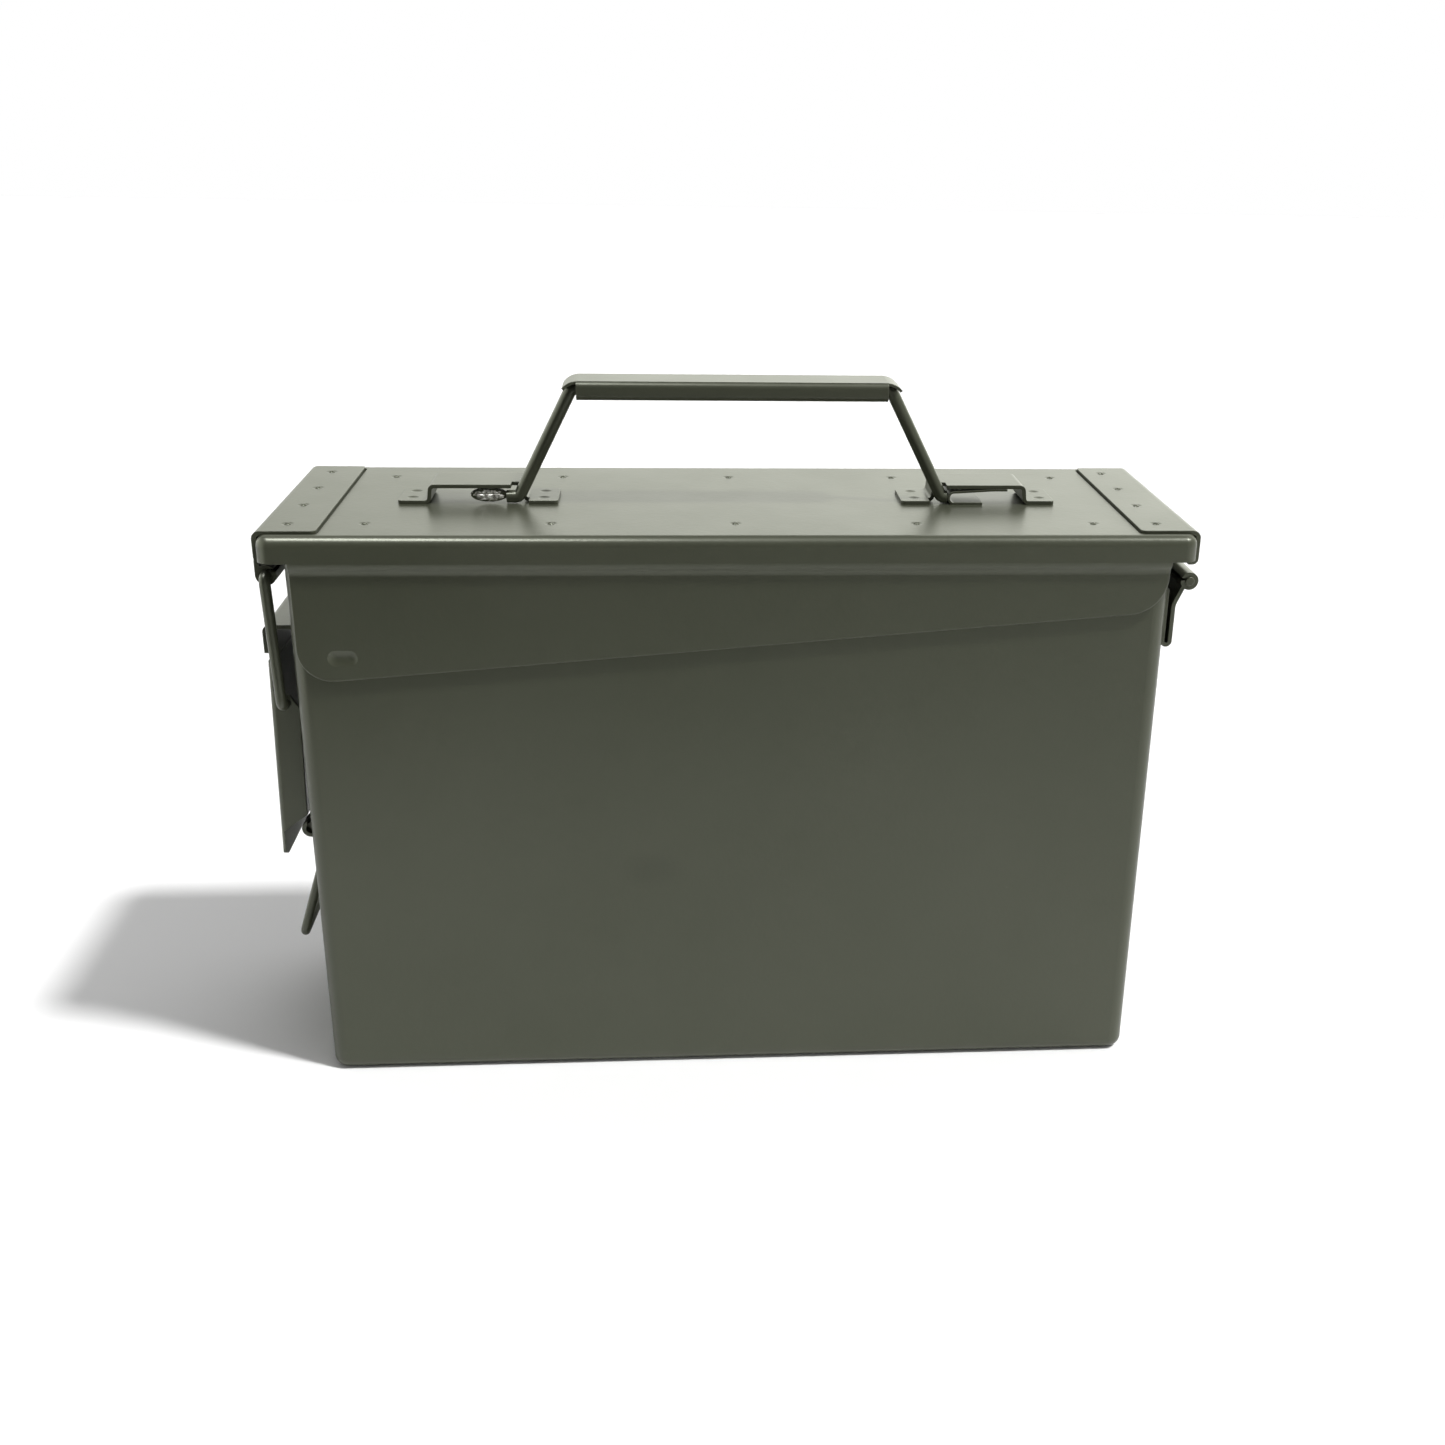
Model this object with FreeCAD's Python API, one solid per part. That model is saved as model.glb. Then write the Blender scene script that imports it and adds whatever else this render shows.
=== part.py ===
import FreeCAD, Part
import math
import os

# A pressed-steel ammunition-style can with a hinged, gasketed lid.
# Millimetres.  X runs along the can (latch end at -X, hinge end at +X), Y across it, +Z up.
# The origin is on the underside, under the middle of the can.

V = FreeCAD.Vector

# ---- driving dimensions -------------------------------------------------------------------
BODY_LENGTH = 268.4
BODY_WIDTH = 91.0
BODY_SHEET = 0.9
BODY_CORNER = 5.0
BODY_BOTTOM_ROUND = 3.4

LID_LENGTH = 281.8
LID_WIDTH = 97.3
LID_TOP = 183.0
LID_SHEET = 1.0
LID_CORNER = 4.0
LID_TOP_ROUND = 3.0
LID_FLANGE_BOTTOM = 175.0
JOGGLE_BOTTOM = 170.8
SKIRT_WIDTH = 94.0
SKIRT_LATCH_X = -132.0
SKIRT_HINGE_X = 133.0
SKIRT_LATCH_Z = 137.0
SKIRT_SLOPE = 0.082
SKIRT_LATCH_ROUND = 10.0
SKIRT_HINGE_ROUND = 12.0
HEM_ROUND = 0.45

GASKET_THICKNESS = 2.4
GASKET_GAP = 0.05
RIM_DEPTH = 7.5
RIM_WIDTH = 2.4
RETAINER_LENGTH = 236.0
RETAINER_WIDTH = 75.0
RETAINER_DEPTH = 2.8
RETAINER_SHEET = 0.8

STRAP_SHEET = 1.4
STRAP_BEND = 1.8
STRAP_WIDTH = 88.0
STRAP_INNER_X = 123.7
STRAP_BOTTOM = 175.6
POCKET_DEPTH = 0.6
POCKET_MARGIN = 0.6

HINGE_PIN_X = 141.6
HINGE_PIN_Z = 166.6
HINGE_PIN_RADIUS = 1.5
HINGE_BRACKET_WIDTH = 80.0
HINGE_TONGUE_WIDTH = 31.0
HINGE_BRACKET_SHEET = 1.3

BAIL_PIVOT_X = -141.3
BAIL_PIVOT_Z = 168.0
BAIL_RADIUS = 1.7
BAIL_ARM_Y = 38.0
LATCH_TONGUE_WIDTH = 71.0
LEVER_PIVOT_X = -140.0
LEVER_PIVOT_Z = 126.5
LEVER_WIDTH = 68.0
LEVER_SHEET = 1.2
LEVER_TOP = 139.6
LEVER_FLANGE_BOTTOM = 81.5
LEVER_TIP = 73.0
LEVER_LEAN = 1.6
LEVER_OUTER_X = -144.5
LEVER_INNER_X = -135.8

CATCH_WIDTH = 60.0
CATCH_SHEET = 1.3
CATCH_TOP = 150.5
CATCH_OUTER_X = -145.6
CATCH_LIP_BOTTOM = 141.5

LOOP_PIVOT_Z = 81.5
LOOP_RADIUS = 1.5
LOOP_ARM_Y = 20.0
LOOP_PIN_Y = 28.0
LOOP_HEEL_Z = 67.0
LOOP_BOTTOM_Z = 37.5
LOOP_LEAN = 17.6

HANDLE_RADIUS = 2.0
HANDLE_Y = -5.6
HANDLE_AXIS_Z = 185.15
HANDLE_BASE_X = 67.5
HANDLE_TOP_X = 49.8
HANDLE_TOP_Z = 219.6
HANDLE_FOOT_END_X = 69.3
PADDLE_RISE = 0.6
HANDLE_PADDLE_X = 76.8
HANDLE_TOP_BEND = 3.6
GRIP_WIDTH = 16.0
GRIP_SHEET = 0.9
GRIP_SIDE_HALF = 48.2
GRIP_HOOD_TURN = 50.0
SPRING_LEAF = 0.7
SPRING_CLOSED_X = 69.45
BRACKET_SHEET = 1.2
BRACKET_TOP = 189.3
BRACKET_FRONT_Y = -7.5
BRACKET_BACK_Y = 10.0
BRACKET_OUTER_X = 104.4
BRACKET_OUTER_RISER_X = 94.4
BRACKET_INNER_RISER_X = 65.3
BRACKET_INNER_X = 54.4
LEFT_BRACKET_SHIFT = 0.9

RUNNING_CLEARANCE = 0.06
WELD_RADIUS = 1.9
WELD_DEPTH = 0.3
WELD_ROW_Y = 31.8
WELD_COLUMNS_X = (-111.5, -56.0, 0.0, 56.0, 111.5)
LATCH_STRAP_WELD_X = -133.4
HINGE_STRAP_WELD_X = 130.4
STRAP_WELDS_Y = (-35.2, -11.7, 11.7, 35.2)

# ---- worked-out dimensions ----------------------------------------------------------------
BODY_END_X = BODY_LENGTH / 2
LID_END_X = LID_LENGTH / 2
LID_UNDER = LID_TOP - LID_SHEET
GASKET_BOTTOM = LID_UNDER - GASKET_THICKNESS
BODY_TOP = GASKET_BOTTOM - GASKET_GAP
BRACKET_MID_Z = BRACKET_TOP - BRACKET_SHEET / 2


# ---- shape helpers ------------------------------------------------------------------------
def box(x0, x1, y0, y1, z0, z1):
    """A block between two corners."""
    return Part.makeBox(x1 - x0, y1 - y0, z1 - z0, V(x0, y0, z0))


def vertical_edges(shape):
    """The straight edges that run along Z."""
    return [e for e in shape.Edges if abs(e.BoundBox.ZLength) > 0.5 and e.BoundBox.XLength < 0.01
            and e.BoundBox.YLength < 0.01]


def level_edges(shape, z):
    """The edges that lie in the plane at height z."""
    return [e for e in shape.Edges if abs(e.BoundBox.ZMin - z) < 0.01 and abs(e.BoundBox.ZMax - z) < 0.01]


def rounded_block(length, width, z0, z1, corner, bottom=0.0, top=0.0):
    """A centred block with rounded upright corners and, if asked, a rounded bottom or top edge."""
    block = box(-length / 2, length / 2, -width / 2, width / 2, z0, z1)
    block = block.makeFillet(corner, vertical_edges(block))
    if bottom:
        block = block.makeFillet(bottom, level_edges(block, z0))
    if top:
        block = block.makeFillet(top, level_edges(block, z1))
    return block


def bent_path(points, bends):
    """Straight runs through the points, joined by tangent arcs; bends holds one radius per inner point."""
    edges = []
    start = points[0]
    for index in range(1, len(points) - 1):
        here = points[index]
        before = (points[index - 1] - here).normalize()
        after = (points[index + 1] - here).normalize()
        half_angle = before.getAngle(after) / 2
        radius = bends[index - 1]
        setback = radius / math.tan(half_angle)
        arc_start = here + before * setback
        arc_end = here + after * setback
        to_centre = (before + after).normalize()
        arc_middle = here + to_centre * (radius / math.sin(half_angle) - radius)
        edges.append(Part.LineSegment(start, arc_start).toShape())
        edges.append(Part.Arc(arc_start, arc_middle, arc_end).toShape())
        start = arc_end
    edges.append(Part.LineSegment(start, points[-1]).toShape())
    return Part.Wire(edges)


def bent_wire(points, bends, radius):
    """A round wire bent along the points."""
    path = bent_path(points, bends)
    direction = points[1] - points[0]
    circle = Part.Wire([Part.makeCircle(radius, points[0], direction)])
    return path.makePipeShell([circle], True, False)


def bent_sheet(points_xz, bends, thickness, y0, y1):
    """A strip of sheet from y0 to y1 whose middle follows a bent line in the XZ plane."""
    points = [V(x, y0, z) for x, z in points_xz]
    path = bent_path(points, bends)
    along = (points[1] - points[0]).normalize()
    across = V(-along.z, 0, along.x) * (thickness / 2)
    depth = V(0, y1 - y0, 0)
    corners = [points[0] - across, points[0] + across, points[0] + across + depth, points[0] - across + depth]
    profile = Part.makePolygon(corners + [corners[0]])
    return path.makePipeShell([profile], True, False)


def cylinder_y(x, z, radius, y0, y1):
    """A cylinder along Y."""
    return Part.makeCylinder(radius, y1 - y0, V(x, y0, z), V(0, 1, 0))


def profile_prism(points_xz, y0, y1):
    """A polygon in the XZ plane, extruded from y0 to y1."""
    points = [V(x, y0, z) for x, z in points_xz]
    return Part.Face(Part.makePolygon(points + [points[0]])).extrude(V(0, y1 - y0, 0))


def weld_dimple(x, y, z):
    """The shallow round hollow that a spot weld leaves in a surface at height z."""
    ball = (WELD_RADIUS ** 2 + WELD_DEPTH ** 2) / (2 * WELD_DEPTH)
    return Part.makeSphere(ball, V(x, y, z + ball - WELD_DEPTH))


def one_solid(shape):
    """The single clean solid of a boolean result."""
    return shape.removeSplitter().Solids[0]


# ---- can body -----------------------------------------------------------------------------
def make_body_shell():
    """Four walls with a rounded bottom edge that turns in to a narrow foot flange."""
    outer = rounded_block(BODY_LENGTH, BODY_WIDTH, 0, BODY_TOP, BODY_CORNER, bottom=BODY_BOTTOM_ROUND)
    inner = rounded_block(BODY_LENGTH - 2 * BODY_SHEET, BODY_WIDTH - 2 * BODY_SHEET, BODY_SHEET, BODY_TOP + 1,
                          BODY_CORNER - BODY_SHEET, bottom=BODY_BOTTOM_ROUND - BODY_SHEET)
    window = rounded_block(BODY_LENGTH - 28, BODY_WIDTH - 28, -1, 3, 6.0)
    return one_solid(outer.cut(inner).cut(window))


def make_bottom_pan():
    """The floor plate: it lies on the foot flange and its middle is pressed up."""
    length = BODY_LENGTH - 2 * (BODY_SHEET + BODY_BOTTOM_ROUND)
    width = BODY_WIDTH - 2 * (BODY_SHEET + BODY_BOTTOM_ROUND)
    plate = rounded_block(length, width, BODY_SHEET, 2 * BODY_SHEET, 3.0)
    panel_length = BODY_LENGTH - 34
    panel_width = BODY_WIDTH - 34
    raised = rounded_block(panel_length, panel_width, BODY_SHEET, 4.5, 7.0, top=1.8)
    hollow = rounded_block(panel_length - 2 * BODY_SHEET, panel_width - 2 * BODY_SHEET, BODY_SHEET,
                           4.5 - BODY_SHEET, 7.0 - BODY_SHEET, top=0.9)
    return one_solid(plate.fuse(raised).cut(hollow))


def make_body_rim():
    """The folded stiffening rim inside the mouth; its rounded top presses on the gasket."""
    length = BODY_LENGTH - 2 * BODY_SHEET
    width = BODY_WIDTH - 2 * BODY_SHEET
    corner = BODY_CORNER - BODY_SHEET
    outer = rounded_block(length, width, BODY_TOP - RIM_DEPTH, BODY_TOP, corner)
    inner = rounded_block(length - 2 * RIM_WIDTH, width - 2 * RIM_WIDTH, BODY_TOP - RIM_DEPTH - 1, BODY_TOP + 1,
                          corner - RIM_WIDTH + 0.6)
    ring = outer.cut(inner)
    inner_x = length / 2 - RIM_WIDTH
    lip_edges = [e for e in level_edges(ring, BODY_TOP) if e.BoundBox.XMax < inner_x + 0.01
                 and e.BoundBox.XMin > -inner_x - 0.01 and abs(e.BoundBox.Center.y) < width / 2 - 1.0]
    return one_solid(ring.makeFillet(1.0, lip_edges))


def make_catch_bracket():
    """The latch keeper on the end wall: a ledge with a lip above, and a curl below that holds the pull loop."""
    mid_x = -BODY_END_X - CATCH_SHEET / 2
    lip_x = CATCH_OUTER_X + CATCH_SHEET / 2
    half = CATCH_WIDTH / 2
    curl = LOOP_RADIUS + RUNNING_CLEARANCE + CATCH_SHEET / 2
    curl_z = LOOP_PIVOT_Z
    upper = bent_sheet([(lip_x, CATCH_LIP_BOTTOM), (lip_x, CATCH_TOP - CATCH_SHEET / 2),
                        (mid_x, CATCH_TOP - CATCH_SHEET / 2), (mid_x, curl_z)],
                       [1.6, 1.2], CATCH_SHEET, -half, half)
    ring = cylinder_y(mid_x - curl, curl_z, curl + CATCH_SHEET / 2, -half, half)
    bore = cylinder_y(mid_x - curl, curl_z, curl - CATCH_SHEET / 2, -half - 1, half + 1)
    mouth = box(mid_x - curl - 1.0, mid_x - CATCH_SHEET / 2, -half - 1, half + 1, curl_z, curl_z + 6)
    bracket = upper.fuse(ring.cut(bore).cut(mouth))
    for side in (-1, 1):
        y = side * LOOP_ARM_Y
        bracket = bracket.cut(box(CATCH_OUTER_X, -BODY_END_X, y - 2.6, y + 2.6, curl_z - 9, curl_z + 0.5))
        bracket = bracket.cut(box(CATCH_OUTER_X, -BODY_END_X - CATCH_SHEET, y - 2.6, y + 2.6, curl_z, curl_z + 9))
    return one_solid(bracket)


def loop_pivot_x():
    """The pull loop turns in the curl under the catch bracket."""
    return -BODY_END_X - CATCH_SHEET - LOOP_RADIUS - RUNNING_CLEARANCE


def make_pull_loop():
    """The small wire loop low on the latch end, its heel against the wall and its bow leaning out."""
    x = loop_pivot_x()
    heel_x = -BODY_END_X - LOOP_RADIUS - 0.3
    bottom_x = heel_x - (LOOP_HEEL_Z - LOOP_BOTTOM_Z) * math.tan(math.radians(LOOP_LEAN))
    points = [V(x, -LOOP_PIN_Y, LOOP_PIVOT_Z), V(x, -LOOP_ARM_Y, LOOP_PIVOT_Z),
              V(heel_x, -LOOP_ARM_Y, LOOP_HEEL_Z), V(bottom_x, -LOOP_ARM_Y, LOOP_BOTTOM_Z),
              V(bottom_x, LOOP_ARM_Y, LOOP_BOTTOM_Z), V(heel_x, LOOP_ARM_Y, LOOP_HEEL_Z),
              V(x, LOOP_ARM_Y, LOOP_PIVOT_Z), V(x, LOOP_PIN_Y, LOOP_PIVOT_Z)]
    return bent_wire(points, [2.2, 12.0, 4.0, 4.0, 12.0, 2.2], LOOP_RADIUS)


# ---- hinge --------------------------------------------------------------------------------
def make_hinge_bracket():
    """The body half of the hinge: a folded channel on the end wall whose top rolls round the pin."""
    half = HINGE_BRACKET_WIDTH / 2
    sheet = HINGE_BRACKET_SHEET
    wall_x = BODY_END_X + sheet / 2
    face_x = BODY_END_X + 3.1
    eye = HINGE_PIN_RADIUS + sheet
    channel = bent_sheet([(wall_x, 164.0), (wall_x, 145.8), (face_x, 145.8), (face_x, 159.0),
                          (HINGE_PIN_X - 1.6, HINGE_PIN_Z - 1.4)],
                         [1.2, 1.2, 6.0], sheet, -half, half)
    barrel = cylinder_y(HINGE_PIN_X, HINGE_PIN_Z, eye, -half, half)
    bore = cylinder_y(HINGE_PIN_X, HINGE_PIN_Z, HINGE_PIN_RADIUS, -half - 1, half + 1)
    seam = box(HINGE_PIN_X - eye - 1, HINGE_PIN_X, -half - 1, half + 1, HINGE_PIN_Z + 0.2, HINGE_PIN_Z + 1.1)
    gap = HINGE_TONGUE_WIDTH / 2 + 0.4
    window = box(face_x + 0.9, HINGE_PIN_X + 10, -gap, gap, 161.0, 175.0)
    bracket = channel.fuse(barrel).cut(bore).cut(seam).cut(window)
    return one_solid(bracket)


def make_hinge_pin():
    """The hinge pin, with a slightly domed end each side."""
    end = HINGE_BRACKET_WIDTH / 2 + 0.7
    pin = cylinder_y(HINGE_PIN_X, HINGE_PIN_Z, HINGE_PIN_RADIUS, -end, end)
    return one_solid(pin.makeFillet(0.5, [e for e in pin.Edges if e.BoundBox.YLength < 0.01]))


# ---- lid ----------------------------------------------------------------------------------
def joggled_section(top_half_width, bottom_half_width, x0, x1, side):
    """A skirt sheet that steps inward just under the lid flange and then hangs straight down."""
    step = top_half_width - bottom_half_width
    drop = LID_FLANGE_BOTTOM - JOGGLE_BOTTOM
    radius = (step ** 2 + drop ** 2) / (4 * step)
    turn = math.asin(drop / 2 / radius)

    def ring_point(y_centre, z_centre, reach, angle):
        return V(x0, side * (y_centre + reach * math.cos(angle)), z_centre + reach * math.sin(angle))

    upper_y = top_half_width - radius
    lower_y = bottom_half_width + radius
    foot = SKIRT_LATCH_Z - 2
    edges = []
    for upper_reach, lower_reach in ((radius, radius), (radius - LID_SHEET, radius + LID_SHEET)):
        upper = [ring_point(upper_y, LID_FLANGE_BOTTOM, upper_reach, -turn * part) for part in (0, 0.5, 1)]
        lower = [ring_point(lower_y, JOGGLE_BOTTOM, lower_reach, math.pi - turn * part) for part in (1, 0.5, 0)]
        hem = V(x0, lower[2].y, foot)
        edges.append([Part.Arc(*upper).toShape(), Part.Arc(*lower).toShape(),
                      Part.LineSegment(lower[2], hem).toShape()])
    outer, inner = edges
    top = Part.LineSegment(outer[0].Vertexes[0].Point, inner[0].Vertexes[0].Point).toShape()
    bottom = Part.LineSegment(outer[2].Vertexes[1].Point, inner[2].Vertexes[1].Point).toShape()
    loop = Part.Wire(Part.__sortEdges__(outer + inner + [top, bottom]))
    return Part.Face(loop).extrude(V(x1 - x0, 0, 0))


def skirt_outline():
    """The side view of the skirts: deep at the latch end, rising in a straight slant to the hinge end."""
    hinge_z = SKIRT_LATCH_Z + SKIRT_SLOPE * (SKIRT_HINGE_X - SKIRT_LATCH_X)
    outline = profile_prism([(SKIRT_LATCH_X, 190), (SKIRT_LATCH_X, SKIRT_LATCH_Z), (SKIRT_HINGE_X, hinge_z),
                             (SKIRT_HINGE_X, 190)], -LID_WIDTH, LID_WIDTH)
    for x, radius in ((SKIRT_LATCH_X, SKIRT_LATCH_ROUND), (SKIRT_HINGE_X, SKIRT_HINGE_ROUND)):
        corner = [e for e in outline.Edges if e.BoundBox.YLength > 1 and e.BoundBox.ZMax < 170
                  and abs(e.BoundBox.Center.x - x) < 0.01]
        outline = outline.makeFillet(radius, corner)
    return outline


def hem_edges(skirt, side):
    """The outer edges along the hem of one skirt."""
    outer_y = side * SKIRT_WIDTH / 2
    return [e for e in skirt.Edges if abs(e.BoundBox.YMin - outer_y) < 0.01 and abs(e.BoundBox.YMax - outer_y) < 0.01
            and e.BoundBox.ZMin < JOGGLE_BOTTOM - 1]


def detent_dimple(side):
    """The short pressed hollow near the deep end of each skirt."""
    radius = 5.5
    y = side * (SKIRT_WIDTH / 2 + radius - 0.6)
    bar = Part.makeCylinder(radius, 4.0, V(-120.5, y, 145.3), V(1, 0, 0))
    return bar.fuse([Part.makeSphere(radius, V(x, y, 145.3)) for x in (-120.5, -116.5)])


def strap_pocket(side):
    """The shallow recess in the lid top that an end strap lies in."""
    inner = STRAP_INNER_X - POCKET_MARGIN
    half = STRAP_WIDTH / 2 + POCKET_MARGIN
    pocket = box(inner, LID_END_X + 5, -half, half, LID_TOP - POCKET_DEPTH, LID_TOP + 5)
    corners = [e for e in vertical_edges(pocket) if abs(e.BoundBox.Center.x - inner) < 0.01]
    pocket = pocket.makeFillet(2.0, corners)
    return pocket if side > 0 else pocket.mirror(V(0, 0, 0), V(1, 0, 0))


def make_lid_pan():
    """The lid pressing: a shallow pan with two long joggled skirts."""
    outer = rounded_block(LID_LENGTH, LID_WIDTH, LID_FLANGE_BOTTOM, LID_TOP, LID_CORNER, top=LID_TOP_ROUND)
    inner = rounded_block(LID_LENGTH - 2 * LID_SHEET, LID_WIDTH - 2 * LID_SHEET, LID_FLANGE_BOTTOM - 1, LID_UNDER,
                          LID_CORNER - LID_SHEET, top=LID_TOP_ROUND - LID_SHEET)
    outline = skirt_outline()
    skirts = []
    for side in (-1, 1):
        skirt = joggled_section(LID_WIDTH / 2, SKIRT_WIDTH / 2, SKIRT_LATCH_X - 1, SKIRT_HINGE_X + 1, side)
        skirt = skirt.common(outline)
        skirts.append(skirt.makeFillet(HEM_ROUND, hem_edges(skirt, side)))
    lid = outer.cut(inner).fuse(skirts)
    hollows = [weld_dimple(x, y, LID_TOP) for x in WELD_COLUMNS_X for y in (-WELD_ROW_Y, WELD_ROW_Y)]
    hollows += [detent_dimple(side) for side in (-1, 1)]
    hollows += [strap_pocket(side) for side in (-1, 1)]
    for hollow in hollows:
        lid = lid.cut(hollow)
    return one_solid(lid)


def make_lid_gasket():
    """The flat rubber ring inside the lid that the mouth rim presses on."""
    length = LID_LENGTH - 2 * LID_SHEET - 0.8
    width = LID_WIDTH - 2 * LID_SHEET - 0.8
    ring = rounded_block(length, width, GASKET_BOTTOM, LID_UNDER, LID_CORNER, top=LID_TOP_ROUND - LID_SHEET)
    return one_solid(ring.cut(rounded_block(RETAINER_LENGTH, RETAINER_WIDTH, GASKET_BOTTOM - 1, LID_TOP, 6.0)))


def make_gasket_retainer():
    """The shallow inverted tray welded inside the lid that holds the gasket in place."""
    bottom = LID_UNDER - RETAINER_DEPTH
    tray = rounded_block(RETAINER_LENGTH, RETAINER_WIDTH, bottom, LID_UNDER, 6.0)
    hollow = rounded_block(RETAINER_LENGTH - 2 * RETAINER_SHEET, RETAINER_WIDTH - 2 * RETAINER_SHEET, bottom - 1,
                           LID_UNDER - RETAINER_SHEET, 6.0 - RETAINER_SHEET)
    return one_solid(tray.cut(hollow))


def strap_plate(side, bottom_points, bends):
    """The part that both end straps share: a plate on the lid top, bent down over the lid's end."""
    half = STRAP_WIDTH / 2
    top_z = LID_TOP - POCKET_DEPTH + STRAP_SHEET / 2
    end_x = LID_END_X + STRAP_SHEET / 2
    points = [(side * STRAP_INNER_X, top_z), (side * end_x, top_z)] + bottom_points
    strap = bent_sheet(points, bends, STRAP_SHEET, -half, half)
    corners = [e for e in vertical_edges(strap) if abs(abs(e.BoundBox.Center.x) - STRAP_INNER_X) < 0.01]
    strap = strap.makeFillet(1.5, corners)
    weld_x = HINGE_STRAP_WELD_X if side > 0 else LATCH_STRAP_WELD_X
    for y in STRAP_WELDS_Y:
        strap = strap.cut(weld_dimple(weld_x, y, LID_TOP - POCKET_DEPTH + STRAP_SHEET))
    return strap


def make_latch_strap():
    """The strap over the latch end; its tongue rolls round the bail's cross wire."""
    end_x = LID_END_X + STRAP_SHEET / 2
    half = LATCH_TONGUE_WIDTH / 2
    bore = BAIL_RADIUS + RUNNING_CLEARANCE
    strap = strap_plate(-1, [(-end_x, STRAP_BOTTOM)], [STRAP_BEND])
    tongue_x = BAIL_PIVOT_X - bore - STRAP_SHEET / 2
    tongue = bent_sheet([(-end_x, STRAP_BOTTOM + 2), (-end_x, STRAP_BOTTOM + 0.2), (tongue_x, STRAP_BOTTOM - 2.6),
                         (tongue_x, BAIL_PIVOT_Z)], [1.0, 1.6], STRAP_SHEET, -half, half)
    eye = cylinder_y(BAIL_PIVOT_X, BAIL_PIVOT_Z, bore + STRAP_SHEET, -half, half)
    hole = cylinder_y(BAIL_PIVOT_X, BAIL_PIVOT_Z, bore, -half - 1, half + 1)
    seam = box(BAIL_PIVOT_X + 0.4, BAIL_PIVOT_X + 6, -half - 1, half + 1, BAIL_PIVOT_Z + 1.0, BAIL_PIVOT_Z + 2.0)
    return one_solid(strap.fuse([tongue, eye]).cut(hole).cut(seam))


def make_hinge_strap():
    """The strap over the hinge end; its edge hooks under the lid flange and its tongue holds the pin."""
    end_x = LID_END_X + STRAP_SHEET / 2
    half = HINGE_TONGUE_WIDTH / 2
    bore = HINGE_PIN_RADIUS + RUNNING_CLEARANCE
    hem_z = LID_FLANGE_BOTTOM - 0.5 - STRAP_SHEET / 2
    strap = strap_plate(1, [(end_x, hem_z), (LID_END_X - 1.6, hem_z)], [STRAP_BEND, 1.1])
    tongue = box(end_x - STRAP_SHEET / 2, end_x + STRAP_SHEET / 2, -half, half, HINGE_PIN_Z, hem_z + 2)
    eye = cylinder_y(HINGE_PIN_X, HINGE_PIN_Z, bore + STRAP_SHEET, -half, half)
    hole = cylinder_y(HINGE_PIN_X, HINGE_PIN_Z, bore, -half - 1, half + 1)
    return one_solid(strap.fuse([tongue, eye]).cut(hole))


# ---- carrying handle ----------------------------------------------------------------------
def make_handle_bracket(side):
    """A hat-shaped bracket welded to the lid top, notched at the front so that the handle can lie down."""
    foot_z = LID_TOP + BRACKET_SHEET / 2
    rise = 0.3
    points = [(BRACKET_OUTER_X, foot_z), (BRACKET_OUTER_RISER_X + rise, foot_z),
              (BRACKET_OUTER_RISER_X - rise, BRACKET_MID_Z), (BRACKET_INNER_RISER_X + rise, BRACKET_MID_Z),
              (BRACKET_INNER_RISER_X - rise, foot_z), (BRACKET_INNER_X, foot_z)]
    hat = bent_sheet(points, [1.4, 1.4, 1.4, 1.4], BRACKET_SHEET, BRACKET_FRONT_Y, BRACKET_BACK_Y)
    corners = [e for e in vertical_edges(hat) if min(abs(e.BoundBox.Center.x - BRACKET_OUTER_X),
                                                     abs(e.BoundBox.Center.x - BRACKET_INNER_X)) < 0.01]
    hat = hat.makeFillet(1.2, corners)
    notch_back = HANDLE_Y + HANDLE_RADIUS + 0.4
    hat = hat.cut(box(BRACKET_INNER_RISER_X - 1.7, HANDLE_BASE_X + 1.5, BRACKET_FRONT_Y - 1, notch_back,
                      LID_TOP, BRACKET_TOP + 1))
    middle_y = (BRACKET_FRONT_Y + BRACKET_BACK_Y) / 2
    foot_welds = ((BRACKET_OUTER_X + BRACKET_OUTER_RISER_X) / 2 + 0.8,
                  (BRACKET_INNER_X + BRACKET_INNER_RISER_X) / 2 - 0.8)
    for x in foot_welds:
        for y in (middle_y - 4.4, middle_y + 4.4):
            hat = hat.cut(weld_dimple(x, y, LID_TOP + BRACKET_SHEET))
    hat = one_solid(hat)
    return hat if side > 0 else hat.mirror(V(-LEFT_BRACKET_SHIFT / 2, 0, 0), V(1, 0, 0))


def make_handle_spring():
    """The U-shaped leaf spring under one bracket; its closed end bears on the end of the handle's short foot."""
    closed_x = SPRING_CLOSED_X + SPRING_LEAF / 2
    low_z = LID_TOP + SPRING_LEAF / 2
    high_z = BRACKET_TOP - BRACKET_SHEET - SPRING_LEAF / 2 - 0.05
    spring = bent_sheet([(closed_x + 11.0, low_z), (closed_x, low_z), (closed_x, low_z + 3.5),
                         (closed_x + 14.5, high_z), (closed_x + 19.0, high_z)],
                        [1.7, 1.6, 30.0], SPRING_LEAF, BRACKET_FRONT_Y, BRACKET_BACK_Y - 2.0)
    return one_solid(spring)


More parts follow.
